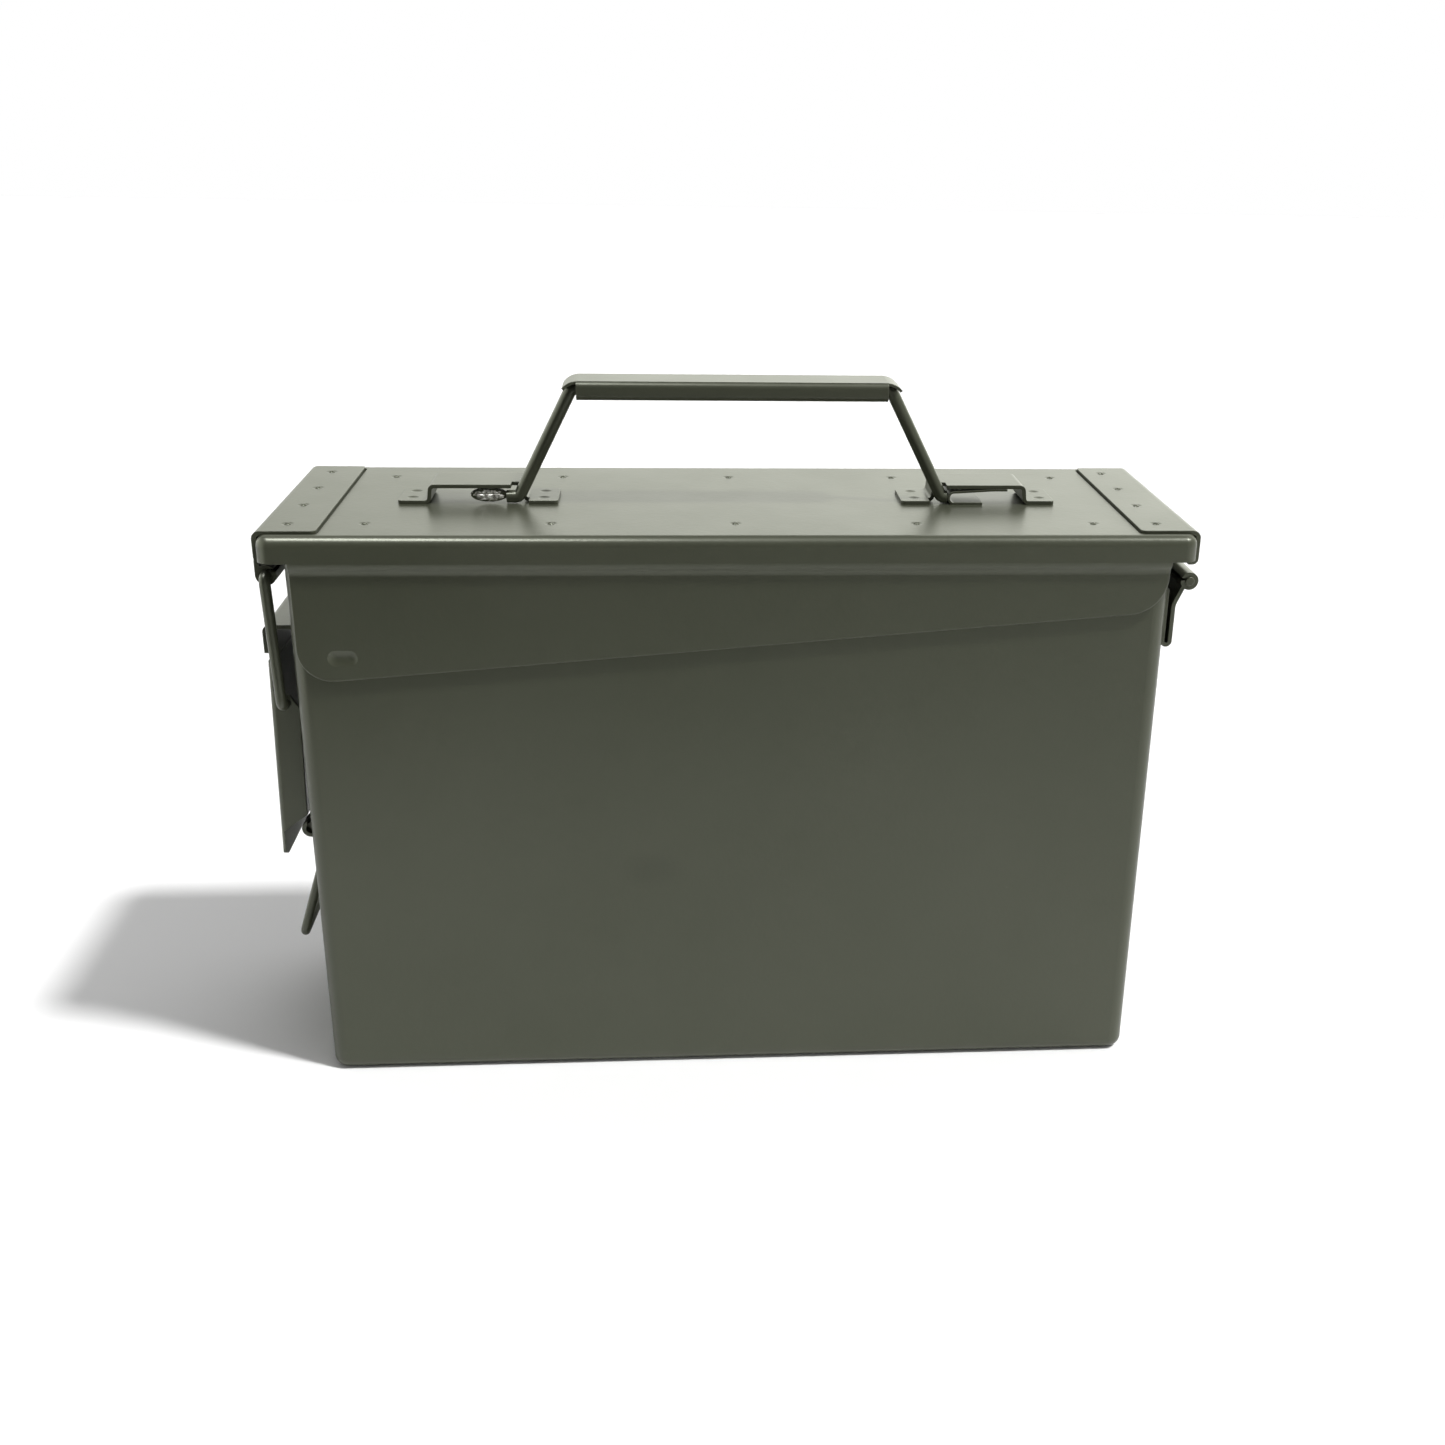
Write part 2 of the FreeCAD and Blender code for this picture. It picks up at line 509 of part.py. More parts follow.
def make_handle_wire():
    """The bail of the carrying handle; its feet turn under the brackets and the latch-side foot is flattened."""
    points = [V(5.4 - HANDLE_PADDLE_X, HANDLE_Y, HANDLE_AXIS_Z), V(-HANDLE_BASE_X, HANDLE_Y, HANDLE_AXIS_Z),
              V(-HANDLE_TOP_X, HANDLE_Y, HANDLE_TOP_Z), V(HANDLE_TOP_X, HANDLE_Y, HANDLE_TOP_Z),
              V(HANDLE_BASE_X, HANDLE_Y, HANDLE_AXIS_Z), V(HANDLE_FOOT_END_X, HANDLE_Y, HANDLE_AXIS_Z)]
    wire = bent_wire(points, [2.1, HANDLE_TOP_BEND, HANDLE_TOP_BEND, 2.1], HANDLE_RADIUS)
    paddle_half = 1.2
    centre = V(-HANDLE_PADDLE_X, HANDLE_Y - paddle_half, HANDLE_AXIS_Z + PADDLE_RISE)
    outline = Part.Ellipse(centre, 5.6, HANDLE_RADIUS).toShape()
    outline.rotate(centre, V(1, 0, 0), 90)
    paddle = Part.Face(Part.Wire([outline])).extrude(V(0, 2 * paddle_half, 0))
    return one_solid(wire.fuse(paddle))


def make_handle_grip():
    """The folded sheet grip: a flat top, two short sides, lips turned in below, and ends hooded over the wire."""
    height = 2 * HANDLE_RADIUS + 0.1 + 2 * GRIP_SHEET
    half = GRIP_WIDTH / 2
    bottom = HANDLE_TOP_Z - height / 2
    top = HANDLE_TOP_Z + height / 2

    def bar(inset, radius):
        block = box(-GRIP_SIDE_HALF - inset, GRIP_SIDE_HALF + inset, HANDLE_Y - half + inset,
                    HANDLE_Y + half - inset, bottom + inset, top - inset)
        long_edges = [e for e in block.Edges if e.BoundBox.XLength > 1]
        return block.makeFillet(radius, long_edges)

    grip = bar(0, 1.9).cut(bar(GRIP_SHEET, 1.9 - GRIP_SHEET))
    grip = grip.cut(box(-200, 200, HANDLE_Y - 1.6, HANDLE_Y + 1.6, bottom - 1, HANDLE_TOP_Z - HANDLE_RADIUS))
    return one_solid(grip.fuse(grip_top(half)))


def grip_top(half):
    """The grip's top sheet, whose two ends turn down round the bends of the wire."""
    z = HANDLE_TOP_Z + HANDLE_RADIUS + 0.05 + GRIP_SHEET / 2
    turn = math.radians(GRIP_HOOD_TURN)
    leg_turn = math.atan2(HANDLE_TOP_Z - HANDLE_AXIS_Z, HANDLE_BASE_X - HANDLE_TOP_X)
    hood_start = HANDLE_TOP_X - HANDLE_TOP_BEND * math.tan(leg_turn / 2)
    bend = HANDLE_TOP_BEND + z - HANDLE_TOP_Z
    reach = bend * math.tan(turn / 2)
    corner_x = hood_start + reach
    end = (corner_x + (reach + 0.05) * math.cos(turn), z - (reach + 0.05) * math.sin(turn))
    points = [(-end[0], end[1]), (-corner_x, z), (corner_x, z), end]
    top = bent_sheet(points, [bend, bend], GRIP_SHEET, HANDLE_Y - half + 0.9, HANDLE_Y + half - 0.9)
    return top


# ---- latch --------------------------------------------------------------------------------
def make_latch_bail():
    """The wire bail: a cross wire in the strap's tongue, two arms, and ends turned in through the lever."""
    pin_y = LEVER_WIDTH / 2 - LEVER_SHEET - 1.0
    knee = (BAIL_PIVOT_X + 0.2, BAIL_PIVOT_Z - 6.5)
    arm = []
    for side in (-1, 1):
        arm.append([V(LEVER_PIVOT_X, side * pin_y, LEVER_PIVOT_Z), V(LEVER_PIVOT_X, side * BAIL_ARM_Y, LEVER_PIVOT_Z),
                    V(knee[0], side * BAIL_ARM_Y, knee[1]), V(BAIL_PIVOT_X, side * BAIL_ARM_Y, BAIL_PIVOT_Z)])
    points = arm[0] + arm[1][::-1]
    return bent_wire(points, [2.4, 30.0, 2.4, 2.4, 30.0, 2.4], BAIL_RADIUS)


def make_latch_lever():
    """The over-centre lever: a channel with a hook along its top edge and a finger tip below its sides."""
    half = LEVER_WIDTH / 2
    inner_x = LEVER_OUTER_X + LEVER_SHEET
    block = box(LEVER_OUTER_X, LEVER_INNER_X, -half, half, LEVER_TIP, LEVER_TOP)
    bends = [e for e in vertical_edges(block) if abs(e.BoundBox.Center.x - LEVER_OUTER_X) < 0.01]
    channel = block.makeFillet(1.8, bends).cut(
        box(inner_x, LEVER_INNER_X + 1, LEVER_SHEET - half, half - LEVER_SHEET, LEVER_TIP - 1, LEVER_TOP + 1))
    side_outline = [(LEVER_OUTER_X - 1, LEVER_TOP), (LEVER_OUTER_X - 1, LEVER_TIP), (inner_x, LEVER_TIP),
                    (inner_x, LEVER_FLANGE_BOTTOM + 1), (LEVER_INNER_X, LEVER_FLANGE_BOTTOM + 6.8),
                    (LEVER_INNER_X, LEVER_PIVOT_Z - 1.7), (LEVER_PIVOT_X + 2.6, LEVER_PIVOT_Z + 0.6),
                    (LEVER_PIVOT_X + 1.5, LEVER_PIVOT_Z + 2.5), (LEVER_PIVOT_X - 0.6, LEVER_PIVOT_Z + 3.0),
                    (inner_x, LEVER_PIVOT_Z + 3.6), (inner_x, LEVER_TOP)]
    channel = channel.common(profile_prism(side_outline, -half, half))
    front_outline = box(LEVER_OUTER_X - 1, LEVER_INNER_X + 1, -half, half, LEVER_TIP, LEVER_TOP + 5)
    tip_corners = [e for e in level_edges(front_outline, LEVER_TIP) if e.BoundBox.XLength > 1]
    channel = channel.common(front_outline.makeFillet(5.0, tip_corners))
    hook = box(LEVER_OUTER_X + 0.6, inner_x + 0.6, 3 - CATCH_WIDTH / 2, CATCH_WIDTH / 2 - 3, LEVER_TOP - 2,
               CATCH_TOP - CATCH_SHEET - 0.7)
    hem = cylinder_y(LEVER_OUTER_X + 1.0, LEVER_TOP - 0.2, 1.0, 2.0 - half, half - 2.0)
    bore = cylinder_y(LEVER_PIVOT_X, LEVER_PIVOT_Z, BAIL_RADIUS + RUNNING_CLEARANCE, -half - 1, half + 1)
    lever = one_solid(channel.fuse([hook, hem]).cut(bore))
    return lever.rotate(V(LEVER_PIVOT_X, 0, LEVER_PIVOT_Z), V(0, 1, 0), LEVER_LEAN)


PARTS = {
    "body_shell": make_body_shell,
    "bottom_pan": make_bottom_pan,
    "body_rim": make_body_rim,
    "catch_bracket": make_catch_bracket,
    "pull_loop": make_pull_loop,
    "hinge_bracket": make_hinge_bracket,
    "hinge_pin": make_hinge_pin,
    "lid_pan": make_lid_pan,
    "lid_gasket": make_lid_gasket,
    "gasket_retainer": make_gasket_retainer,
    "latch_strap": make_latch_strap,
    "hinge_strap": make_hinge_strap,
    "handle_bracket_left": lambda: make_handle_bracket(-1),
    "handle_bracket_right": lambda: make_handle_bracket(1),
    "handle_spring": make_handle_spring,
    "handle_wire": make_handle_wire,
    "handle_grip": make_handle_grip,
    "latch_bail": make_latch_bail,
    "latch_lever": make_latch_lever,
}

os.makedirs("parts", exist_ok=True)
for name, make in PARTS.items():
    solid = make()
    print(name, "valid" if solid.isValid() else "INVALID", solid.ShapeType, round(solid.Volume, 1),
          [round(v, 2) for v in (solid.BoundBox.XMin, solid.BoundBox.XMax, solid.BoundBox.YMin,
                                 solid.BoundBox.YMax, solid.BoundBox.ZMin, solid.BoundBox.ZMax)])
    solid.exportStep(f"parts/{name}.step")
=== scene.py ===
import math

import bmesh
import bpy
from mathutils import Matrix, Vector, noise


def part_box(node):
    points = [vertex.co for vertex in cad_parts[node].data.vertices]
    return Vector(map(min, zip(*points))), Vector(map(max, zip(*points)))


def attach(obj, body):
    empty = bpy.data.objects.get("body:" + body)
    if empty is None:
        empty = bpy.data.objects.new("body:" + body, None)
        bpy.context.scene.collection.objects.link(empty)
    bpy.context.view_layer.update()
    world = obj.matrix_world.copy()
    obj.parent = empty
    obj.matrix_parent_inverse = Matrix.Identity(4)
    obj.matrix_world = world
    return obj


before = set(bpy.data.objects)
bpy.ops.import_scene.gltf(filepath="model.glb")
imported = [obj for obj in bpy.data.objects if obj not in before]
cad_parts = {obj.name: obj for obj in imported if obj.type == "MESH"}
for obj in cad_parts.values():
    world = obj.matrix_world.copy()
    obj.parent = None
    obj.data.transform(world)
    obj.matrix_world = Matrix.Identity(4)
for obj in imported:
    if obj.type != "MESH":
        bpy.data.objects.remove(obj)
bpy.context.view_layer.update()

MM = 0.001
scene = bpy.context.scene

# ---- camera -------------------------------------------------------------------------------
SENSOR_WIDTH = 36.0
CAMERA_LENS = 40.98
CAMERA_CLIP = (0.01, 50.0)
CAMERA_PLACE = Vector((-18.96, -525.1, 308.3)) * MM
CAMERA_YAW = -5.01
CAMERA_PITCH = -22.33
CAMERA_ROLL = -1.24
CAMERA_SHIFT_X = -0.0601
CAMERA_SHIFT_Y = 0.0248


def make_camera():
    """A still camera a little left of the middle, looking slightly down at the long side."""
    data = bpy.data.cameras.new("camera")
    data.sensor_width = SENSOR_WIDTH
    data.lens = CAMERA_LENS
    data.shift_x = CAMERA_SHIFT_X
    data.shift_y = CAMERA_SHIFT_Y
    data.clip_start, data.clip_end = CAMERA_CLIP
    camera = bpy.data.objects.new("camera", data)
    scene.collection.objects.link(camera)
    turn = (Matrix.Rotation(math.radians(CAMERA_YAW), 4, "Z")
            @ Matrix.Rotation(math.radians(CAMERA_PITCH), 4, "X")
            @ Matrix.Rotation(math.radians(CAMERA_ROLL), 4, "Y")
            @ Matrix.Rotation(math.radians(90), 4, "X"))
    camera.matrix_world = Matrix.Translation(CAMERA_PLACE) @ turn
    scene.camera = camera


# ---- light and floor ----------------------------------------------------------------------
SUN_TOWARDS = Vector((0.48, -0.21, 0.855))
SUN_STRENGTH = 3.0
SUN_SOFTNESS = math.radians(6.0)
# A ramp is (axis, start, end, strength at the end, strength at the start) over the direction of view.
SKY_BASE = 0.03                                     # the unlit studio in front of the can
SKY_BACK = ("Y", -0.1, 0.8, 1.85)                   # the bright sweep behind it
SKY_BACK_HEIGHT = ("Z", 0.8, 0.35, 1.0)             # the sweep fades out overhead
SKY_BACK_LEFT = ("X", -0.45, 0.05, 1.0, 0.66)       # and is weaker on the left
SKY_SIDE = ("X", -0.25, 0.55, 0.6)                  # a window on the right
SKY_TOP = ("Z", 0.3, 1.0, 0.16)                     # a dim ceiling
SKY_WALL = ("X", -0.55, -0.9, 2.5)                  # a white wall on the left, seen only as a gleam
GLEAM_TINT = (0.985, 1.0, 0.91, 1)
BACKDROP = 1.0
STRIP_PLACE = (-0.24, -0.19, 0.88)
STRIP_SIZE = (0.42, 0.05)
STRIP_POWER = 7.5
STRIP_AIM = Vector((0, 0, 0.18))                    # the middle of the lid's top
FLOOR_FRONT = -0.40
FLOOR_SKEW = -0.35                                  # the floor's front edge comes nearer on the right
FLOOR_REACH = 4.0
FLOOR_DROP = 0.0002
FLOOR_GREY = (0.9, 0.9, 0.9, 1)
WHITE = (1, 1, 1, 1)


class Sky:
    """The studio round the can as a world material, built from soft ramps over the direction."""

    def __init__(self, name):
        self.world = bpy.data.worlds.new(name)
        self.world.use_nodes = True
        self.nodes = self.world.node_tree.nodes
        self.links = self.world.node_tree.links
        self.nodes.clear()
        self.direction = self.nodes.new("ShaderNodeSeparateXYZ")
        towards = self.nodes.new("ShaderNodeTexCoord").outputs["Generated"]
        self.links.new(towards, self.direction.inputs[0])
        self.path = self.nodes.new("ShaderNodeLightPath")

    def ramp(self, axis, low, high, strength, least=0.0):
        """Light that goes smoothly from least at low to strength at high, along one axis."""
        ramp = self.nodes.new("ShaderNodeMapRange")
        ramp.interpolation_type = "SMOOTHSTEP"
        for key, number in (("From Min", low), ("From Max", high), ("To Min", least), ("To Max", strength)):
            ramp.inputs[key].default_value = number
        self.links.new(self.direction.outputs[axis], ramp.inputs["Value"])
        return ramp.outputs["Result"]

    def maths(self, operation, first, second):
        """The result of one maths node on two sockets or numbers."""
        made = self.nodes.new("ShaderNodeMath")
        made.operation = operation
        for socket, value in zip(made.inputs, (first, second)):
            if isinstance(value, bpy.types.NodeSocket):
                self.links.new(value, socket)
            else:
                socket.default_value = value
        return made.outputs[0]

    def background(self, strength, colour):
        """Light of one colour, with a socket or a number as its strength."""
        made = self.nodes.new("ShaderNodeBackground")
        made.inputs["Color"].default_value = colour
        if isinstance(strength, bpy.types.NodeSocket):
            self.links.new(strength, made.inputs["Strength"])
        else:
            made.inputs["Strength"].default_value = strength
        return made.outputs["Background"]

    def choose(self, ray, otherwise, chosen):
        """chosen for rays of that kind, and otherwise for the rest."""
        mix = self.nodes.new("ShaderNodeMixShader")
        self.links.new(self.path.outputs[ray], mix.inputs["Fac"])
        self.links.new(otherwise, mix.inputs[1])
        self.links.new(chosen, mix.inputs[2])
        return mix.outputs["Shader"]


def make_world():
    """A pale studio: bright behind the can, dim in front of it, a little brighter on the right."""
    sky = Sky("studio")
    sweep = sky.maths("MULTIPLY", sky.ramp(*SKY_BACK), sky.ramp(*SKY_BACK_HEIGHT))
    sweep = sky.maths("MULTIPLY", sweep, sky.ramp(*SKY_BACK_LEFT))
    side = sky.ramp(*SKY_SIDE)
    above = sky.ramp(*SKY_TOP)
    total = sky.maths("ADD", sky.maths("ADD", sweep, side), sky.maths("ADD", above, SKY_BASE))
    gleam = sky.maths("ADD", total, sky.ramp(*SKY_WALL))
    seen = sky.choose("Is Glossy Ray", sky.background(total, WHITE), sky.background(gleam, GLEAM_TINT))
    seen = sky.choose("Is Camera Ray", seen, sky.background(BACKDROP, WHITE))
    sky.links.new(seen, sky.nodes.new("ShaderNodeOutputWorld").inputs["Surface"])
    scene.world = sky.world
    scene.view_settings.view_transform = "Standard"


def make_key():
    """A soft sun from the upper right."""
    data = bpy.data.lights.new("key", "SUN")
    data.energy = SUN_STRENGTH
    data.angle = SUN_SOFTNESS
    key = bpy.data.objects.new("key", data)
    key.rotation_mode = "QUATERNION"
    key.rotation_quaternion = SUN_TOWARDS.to_track_quat("Z", "Y")
    scene.collection.objects.link(key)


def make_strip():
    """A soft light strip that faces the lid and shows only as a gleam on its rounded edges."""
    data = bpy.data.lights.new("left_strip", "AREA")
    data.shape = "RECTANGLE"
    data.size, data.size_y = STRIP_SIZE
    data.energy = STRIP_POWER
    strip = bpy.data.objects.new("left_strip", data)
    strip.location = STRIP_PLACE
    strip.rotation_mode = "QUATERNION"
    strip.rotation_quaternion = (Vector(STRIP_PLACE) - STRIP_AIM).to_track_quat("Z", "Y")
    strip.visible_diffuse = False
    scene.collection.objects.link(strip)


def make_floor():
    """A plain pale floor under the can, which ends a little way in front of it."""
    mesh = bpy.data.meshes.new("floor")
    corners = [(-FLOOR_REACH, FLOOR_FRONT - FLOOR_REACH * FLOOR_SKEW, 0),
               (FLOOR_REACH, FLOOR_FRONT + FLOOR_REACH * FLOOR_SKEW, 0),
               (FLOOR_REACH, FLOOR_REACH, 0), (-FLOOR_REACH, FLOOR_REACH, 0)]
    mesh.from_pydata(corners, [], [(0, 1, 2, 3)])
    floor = bpy.data.objects.new("floor", mesh)
    floor.location.z = -FLOOR_DROP
    scene.collection.objects.link(floor)
    paper = bpy.data.materials.new("floor_paper")
    paper.use_nodes = True
    shader = paper.node_tree.nodes["Principled BSDF"]
    shader.inputs["Base Color"].default_value = FLOOR_GREY
    shader.inputs["Roughness"].default_value = 0.9
    shader.inputs["Specular IOR Level"].default_value = 0.1
    mesh.materials.append(paper)


# ---- material building blocks -------------------------------------------------------------
PATCH_CORE = 0.35           # the share of a patch's reach that is fully inside it


class Recipe:
    """A small helper that adds nodes to one material and links them by name."""

    def __init__(self, name):
        self.material = bpy.data.materials.new(name)
        self.material.use_nodes = True
        self.tree = self.material.node_tree
        self.shader = self.tree.nodes["Principled BSDF"]
        self.place = self.tree.nodes.new("ShaderNodeTexCoord").outputs["Object"]

    def node(self, kind, inputs=None, **settings):
        """A new node with its settings, and each input linked to a socket or set to a value."""
        made = self.tree.nodes.new(kind)
        for key, value in settings.items():
            setattr(made, key, value)
        for key, value in (inputs or {}).items():
            if isinstance(value, bpy.types.NodeSocket):
                self.tree.links.new(value, made.inputs[key])
            else:
                made.inputs[key].default_value = value
        return made

    def noise(self, scale, detail=2.0, roughness=0.5):
        """Soft noise with this many features to the metre."""
        inputs = {"Vector": self.place, "Scale": scale, "Detail": detail, "Roughness": roughness}
        return self.node("ShaderNodeTexNoise", inputs).outputs["Fac"]

    def spread(self, value, low, high, to_low=0.0, to_high=1.0):
        """Stretches value from low..high to to_low..to_high."""
        inputs = {"Value": value, "From Min": low, "From Max": high, "To Min": to_low, "To Max": to_high}
        return self.node("ShaderNodeMapRange", inputs).outputs["Result"]

    def mix_colour(self, share, first, second):
        """The first colour with this share of the second one over it."""
        mix = self.node("ShaderNodeMix", data_type="RGBA")
        self.tree.links.new(share, mix.inputs[0])
        for socket, value in ((mix.inputs[6], first), (mix.inputs[7], second)):
            if isinstance(value, bpy.types.NodeSocket):
                self.tree.links.new(value, socket)
            else:
                socket.default_value = (*value, 1)
        return mix.outputs[2]

    def multiply(self, first, second):
        return self.node("ShaderNodeMath", {0: first, 1: second}, operation="MULTIPLY").outputs[0]

    def vector_maths(self, operation, output, *vectors):
        inputs = dict(enumerate(vectors))
        return self.node("ShaderNodeVectorMath", inputs, operation=operation).outputs[output]

    def rounded_normal(self, radius):
        """The surface normal, rounded over every edge by this radius."""
        return self.node("ShaderNodeBevel", {"Radius": radius}).outputs["Normal"]

    def edge_mask(self, radius, gain):
        """1 on sharp edges, 0 on flat faces."""
        soft = self.rounded_normal(radius)
        flat = self.node("ShaderNodeNewGeometry").outputs["Normal"]
        likeness = self.vector_maths("DOT_PRODUCT", "Value", soft, flat)
        return self.spread(likeness, 1.0 - gain, 1.0, 1.0, 0.0)

    def bump(self, height, depth, normal=None):
        """A normal bent by a height, on top of another normal if one is given."""
        inputs = {"Height": height, "Distance": depth, "Strength": 1.0}
        if normal is not None:
            inputs["Normal"] = normal
        return self.node("ShaderNodeBump", inputs).outputs["Normal"]

    def patch(self, centre, reach):
        """1 in the middle of a soft oval patch, 0 outside it."""
        offset = self.vector_maths("SUBTRACT", "Vector", self.place, centre)
        scaled = self.vector_maths("DIVIDE", "Vector", offset, reach)
        distance = self.vector_maths("LENGTH", "Value", scaled)
        return self.spread(distance, PATCH_CORE, 1.0, 1.0, 0.0)

    def set(self, key, value):
        """Links or sets one input of the material's shader."""
        if isinstance(value, bpy.types.NodeSocket):
            self.tree.links.new(value, self.shader.inputs[key])
        else:
            self.shader.inputs[key].default_value = value


# ---- finishes -----------------------------------------------------------------------------
OLIVE = (0.055, 0.0585, 0.040)
OLIVE_DARK = (0.048, 0.052, 0.034)
# Paler edge colour: mostly a painted highlight along the edges, with a little paint wear.
OLIVE_EDGE_SHEEN_AND_WEAR = (0.16, 0.17, 0.12)
# Painted shade colour for a shallow dent in the front wall.
OLIVE_DENT_SHADE = (0.032, 0.035, 0.023)
DUST = (0.42, 0.42, 0.38)
PAINT_SHINE = (0.96, 1.0, 0.85, 1.0)
PAINT_SHINE_LEVEL = 0.56
PAINT_ROUGHNESS = 0.34
WIRE_ROUGHNESS = 0.30       # handled paint is a little smoother
NUGGET_ROUGHNESS = 0.24
# Paler edges, mostly a painted highlight with a little wear: bevel radius, how sharp an edge must be, and
# strength.
EDGE_SHEEN_AND_WEAR_RADIUS = 0.5 * MM
EDGE_SHEEN_AND_WEAR_GAIN = 0.12
EDGE_SHEEN_AND_WEAR_SHARE = 0.45
# Painted shade over a shallow dent in the front wall: its middle, reach and strength.
DENT_SHADE_PLACE = Vector((-27.7, -45.5, 72.1)) * MM
DENT_SHADE_REACH = Vector((12.0, 30.0, 7.0)) * MM
DENT_SHADE_SHARE = 0.35
SPECKS_PER_METRE = 85.0
PAINT_EDGE_RADIUS = 0.35 * MM
SHEET_WAVE = 0.3 * MM
ORANGE_PEEL = 0.035 * MM


def paint_material(name, roughness=PAINT_ROUGHNESS, dent_shaded=False):
    """Semi-gloss olive paint sprayed on sheet steel: orange peel, faint dust, paler edges that are mostly a
    painted highlight with a little wear, and, where asked, a painted shade over a shallow dent.
    """
    paint = Recipe(name)
    cloud = paint.spread(paint.noise(11.0, 3.0), 0.35, 0.65)
    colour = paint.mix_colour(cloud, OLIVE_DARK, OLIVE)
    # Paler edges: mostly a painted highlight along the sharp edges, with a little paint wear in the broken
    # pattern.
    edge = paint.edge_mask(EDGE_SHEEN_AND_WEAR_RADIUS, EDGE_SHEEN_AND_WEAR_GAIN)
    broken = paint.spread(paint.noise(420.0, 3.0), 0.42, 0.62)
    pale_share = paint.multiply(paint.multiply(edge, broken), EDGE_SHEEN_AND_WEAR_SHARE)
    colour = paint.mix_colour(pale_share, colour, OLIVE_EDGE_SHEEN_AND_WEAR)
    # Painted shade: a faint darker oval over a shallow dent in the front wall.
    if dent_shaded:
        dent_shade = paint.multiply(paint.patch(DENT_SHADE_PLACE, DENT_SHADE_REACH), DENT_SHADE_SHARE)
        colour = paint.mix_colour(dent_shade, colour, OLIVE_DENT_SHADE)
    cells = {"Vector": paint.place, "Scale": SPECKS_PER_METRE, "Randomness": 1.0}
    distance = paint.node("ShaderNodeTexVoronoi", cells).outputs["Distance"]
    speck = paint.spread(distance, 0.012, 0.022, 1.0, 0.0)
    chosen = paint.spread(paint.noise(60.0, 0.0), 0.62, 0.64)
    colour = paint.mix_colour(paint.multiply(speck, chosen), colour, DUST)
    paint.set("Base Color", colour)
    uneven = paint.noise(38.0, 4.0, 0.6)
    paint.set("Roughness", paint.spread(uneven, 0.3, 0.7, roughness - 0.012, roughness + 0.018))
    sheet = paint.bump(paint.noise(9.0, 1.0), SHEET_WAVE, paint.rounded_normal(PAINT_EDGE_RADIUS))
    paint.set("Normal", paint.bump(paint.noise(620.0, 2.0), ORANGE_PEEL, sheet))
    paint.set("Specular IOR Level", PAINT_SHINE_LEVEL)
    paint.set("Specular Tint", PAINT_SHINE)
    return paint.material


# Painted shade and painted glint colours for the crushed steel.
STEEL_PAINTED_SHADE = (0.24, 0.23, 0.21)
STEEL_PAINTED_GLINT = (0.85, 0.84, 0.81)
STEEL_GRAIN = 0.06 * MM


def steel_material():
    """Bare crushed steel with painted shade and painted glints, laid in random patches that stand in for
    its dark creases and bright ridges.
    """
    steel = Recipe("crushed_steel")
    # Painted shade and painted glints: dull and bright steel in random patches, standing in for shaded
    # creases and lit ridges.
    pale_share = steel.spread(steel.noise(900.0, 3.0), 0.38, 0.6)
    steel.set("Base Color", steel.mix_colour(pale_share, STEEL_PAINTED_SHADE, STEEL_PAINTED_GLINT))
    steel.set("Metallic", 0.55)
    steel.set("Roughness", steel.spread(steel.noise(1400.0, 2.0), 0.3, 0.7, 0.24, 0.42))
    steel.set("Normal", steel.bump(steel.noise(1800.0, 3.0), STEEL_GRAIN))
    return steel.material


RUBBER_BLACK = (0.018, 0.018, 0.018)
RUBBER_GREY = (0.035, 0.034, 0.033)
RUBBER_SKIN = 0.03 * MM
SHARP_ANGLE = math.radians(28)


def rubber_material():
    """Matt black gasket rubber with a fine skin texture."""
    rubber = Recipe("gasket_rubber")
    tone = rubber.spread(rubber.noise(90.0, 3.0), 0.3, 0.7)
    rubber.set("Base Color", rubber.mix_colour(tone, RUBBER_BLACK, RUBBER_GREY))
    rubber.set("Roughness", rubber.spread(rubber.noise(300.0, 2.0), 0.3, 0.7, 0.6, 0.8))
    rubber.set("Normal", rubber.bump(rubber.noise(1500.0, 2.0), RUBBER_SKIN))
    return rubber.material


def finish_node(name, material):
    """Gives a CAD node its finish and smooth shading between its sharp edges."""
    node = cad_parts[name]
    node.data.materials.clear()
    node.data.materials.append(material)
    node.data.shade_smooth()
    node.data.set_sharp_from_angle(angle=SHARP_ANGLE)


# ---- added pieces -------------------------------------------------------------------------
LID_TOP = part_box("lid_pan")[1].z
STRAP_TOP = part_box("latch_strap")[1].z
NUGGET_COLUMNS = (-111.5 * MM, -56.0 * MM, 0.0, 56.0 * MM, 111.5 * MM)
NUGGET_ROW = 31.8 * MM
STRAP_NUGGET_COLUMNS = (-133.4 * MM, 130.4 * MM)
STRAP_NUGGET_ROWS = (-35.2 * MM, -11.7 * MM, 11.7 * MM, 35.2 * MM)
NUGGET_RADIUS = 1.1 * MM
NUGGET_HEIGHT = 0.88 * MM
NUGGET_SINK = 0.5 * MM


def new_piece(name, mesh, material, body):
    """A finished piece with its material and the body that it rides on."""
    made = bpy.data.objects.new(name, mesh)
    mesh.materials.append(material)
    scene.collection.objects.link(made)
    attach(made, body)
    return made


def nugget_places():
    """The middle of every spot-weld dimple on the lid and its straps."""
    places = [(x, y, LID_TOP) for x in NUGGET_COLUMNS for y in (-NUGGET_ROW, NUGGET_ROW)]
    return places + [(x, y, STRAP_TOP) for x in STRAP_NUGGET_COLUMNS for y in STRAP_NUGGET_ROWS]


def make_weld_nuggets(material):
    """The small raised dome that spot welding left in the middle of each dimple."""
    domes = bmesh.new()
    size = Matrix.Diagonal((NUGGET_RADIUS, NUGGET_RADIUS, NUGGET_HEIGHT, 1.0))
    for place in nugget_places():
        where = Matrix.Translation(Vector(place) - Vector((0, 0, NUGGET_SINK)))
        bmesh.ops.create_uvsphere(domes, u_segments=20, v_segments=12, radius=1.0, matrix=where @ size)
    mesh = bpy.data.meshes.new("weld_nuggets")
    domes.to_mesh(mesh)
    domes.free()
    mesh.shade_smooth()
    return new_piece("weld_nuggets", mesh, material, "lid")


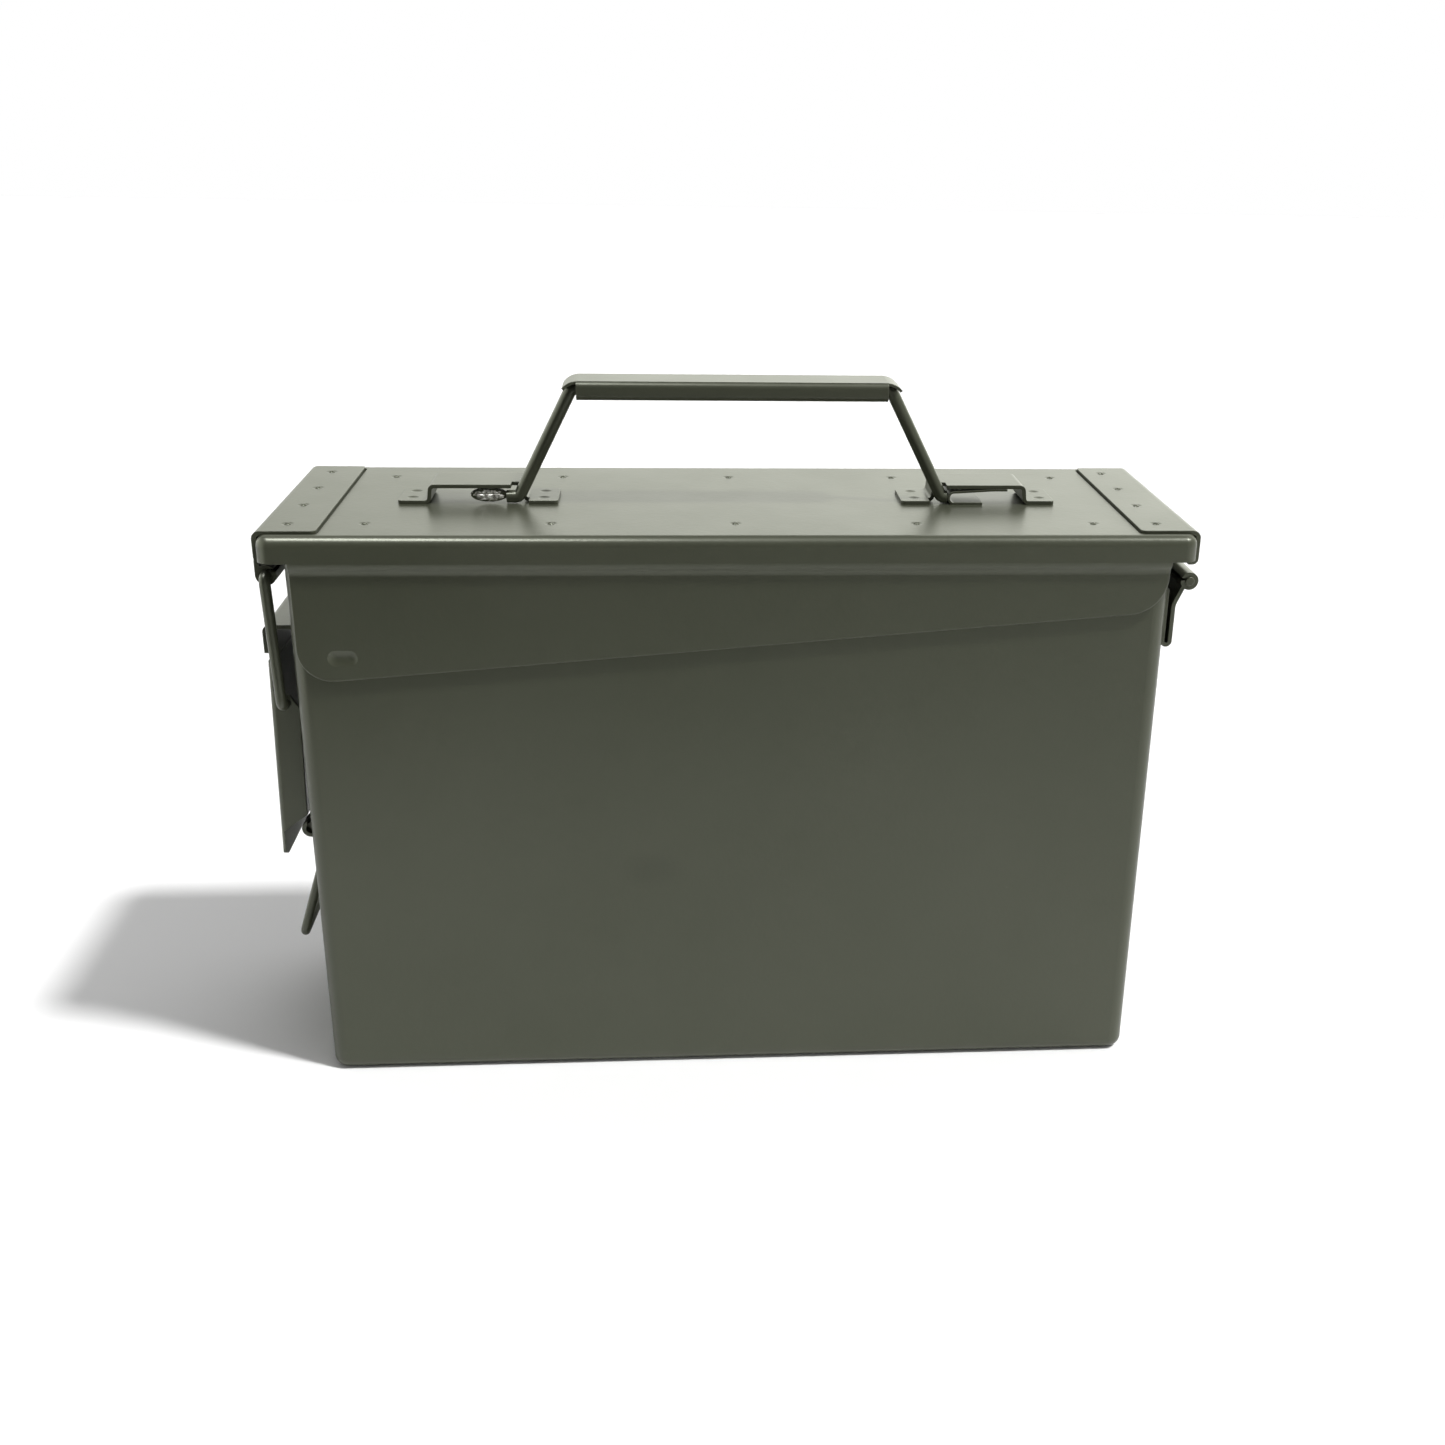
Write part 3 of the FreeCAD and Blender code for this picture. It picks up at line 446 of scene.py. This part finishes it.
CRIMP_HALF = Vector((5.7, 1.32, 2.08)) * MM
CRIMP_RIDGE = 0.24 * MM
CRIMP_FLATNESS = 3.4        # 2 gives a round cross-section, more gives flatter sides
CRIMP_LIFT = 2.75 * MM
CRIMP_OVERHANG = 0.1 * MM
CRIMP_GRAIN = Vector((0.42, 0.9, 1.15)) / MM
CRIMP_FINER = 2.3
CRIMP_FINE_OFFSET = Vector((3.1, 0.4, 7.7))


def times(first, second):
    """Two vectors multiplied component by component."""
    return Vector(a * b for a, b in zip(first, second))


def flattened(ray):
    """The point where a ray from the centre meets a unit disc-like blob with flattened sides."""
    power = CRIMP_FLATNESS
    return ray / (abs(ray.y) ** power + math.hypot(ray.x, ray.z) ** power) ** (1.0 / power)


def crush_depth(place):
    """Sharp ridges with finer ones over them, about 1 on a ridge and below 0 in a crease."""
    grain = times(place, CRIMP_GRAIN)
    ridge = 1.0 - abs(noise.noise(grain)) * 2.2
    fine = 1.0 - abs(noise.noise(grain * CRIMP_FINER + CRIMP_FINE_OFFSET)) * 2.0
    return 0.68 * ridge + 0.32 * fine


def make_crimped_foot(material):
    """The crushed, bare end of the handle wire under the latch-side bracket."""
    grip_low, grip_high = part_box("handle_grip")
    centre = Vector((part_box("handle_wire")[0].x + CRIMP_HALF.x - CRIMP_OVERHANG,
                     (grip_low.y + grip_high.y) / 2, LID_TOP + CRIMP_LIFT))
    crush = bmesh.new()
    bmesh.ops.create_icosphere(crush, subdivisions=6, radius=1.0)
    for vertex in crush.verts:
        ray = flattened(vertex.co.normalized())
        place = times(ray, CRIMP_HALF)
        outward = Vector(component / half for component, half in zip(ray, CRIMP_HALF)).normalized()
        vertex.co = centre + place + outward * CRIMP_RIDGE * crush_depth(place)
    mesh = bpy.data.meshes.new("crimped_foot")
    crush.to_mesh(mesh)
    crush.free()
    mesh.shade_smooth()
    return new_piece("crimped_foot", mesh, material, "handle")


# ---- the scene ----------------------------------------------------------------------------
make_camera()
make_world()
make_key()
make_strip()
make_floor()
olive = paint_material("olive_paint")
finishes = {"lid_gasket": rubber_material(),
            "body_shell": paint_material("olive_paint_wall", dent_shaded=True),
            "handle_wire": paint_material("worn_paint", WIRE_ROUGHNESS)}
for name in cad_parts:
    finish_node(name, finishes.get(name, olive))
make_weld_nuggets(paint_material("nugget_paint", NUGGET_ROUGHNESS))
make_crimped_foot(steel_material())
